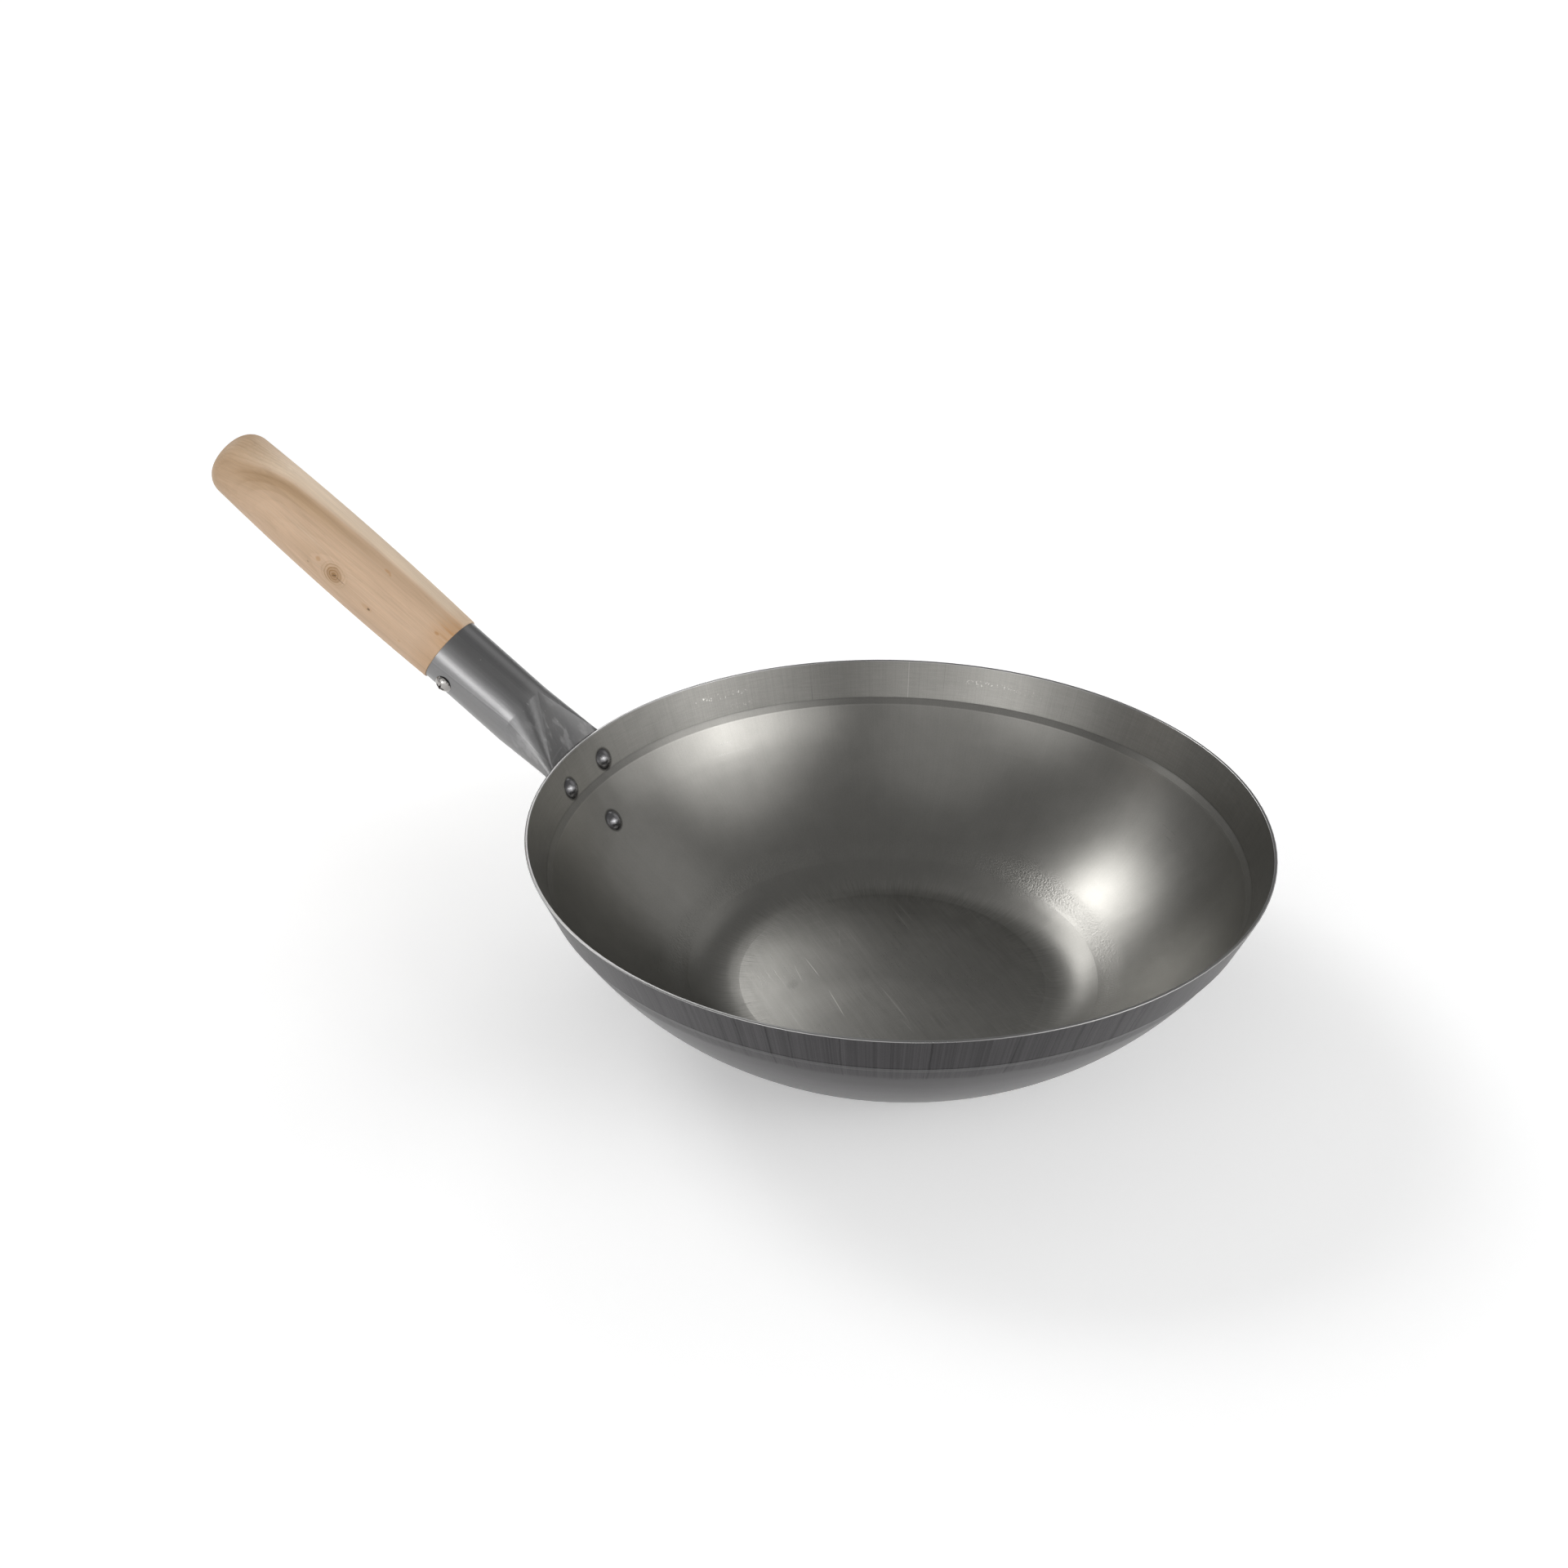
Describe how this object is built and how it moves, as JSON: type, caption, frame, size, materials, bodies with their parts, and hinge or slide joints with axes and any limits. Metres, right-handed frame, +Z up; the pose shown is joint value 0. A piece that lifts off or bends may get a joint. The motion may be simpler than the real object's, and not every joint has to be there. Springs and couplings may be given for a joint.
{
  "type": "wok",
  "caption": "Flat-bottomed carbon steel wok: spun bowl with an upright band at the rim, riveted steel tube handle and turned wooden grip.",
  "frame": {"origin": "centre of the flat underside of the base, on the surface the wok stands on", "axes": "+Z up through the middle of the bowl, -X along the handle from the bowl to the grip's end, +Y completes the right-handed set"},
  "size_m": [0.5467, 0.3494, 0.2333],
  "materials": {
    "bowl_steel": "satin carbon steel, brushed round the bowl",
    "tube_steel": "smooth rolled steel tube with drawing lines",
    "rivet_steel": "plain steel, tumbled",
    "screw_steel": "bright nickel plate",
    "grip_wood": "bare sanded hardwood with a knot"
  },
  "bodies": {
    "root": {"wok_bowl": "bowl_steel", "handle_tube": "tube_steel", "wooden_grip": "grip_wood", "grip_screw": "screw_steel", "handle_rivets": "rivet_steel"}
  },
  "joints": []
}
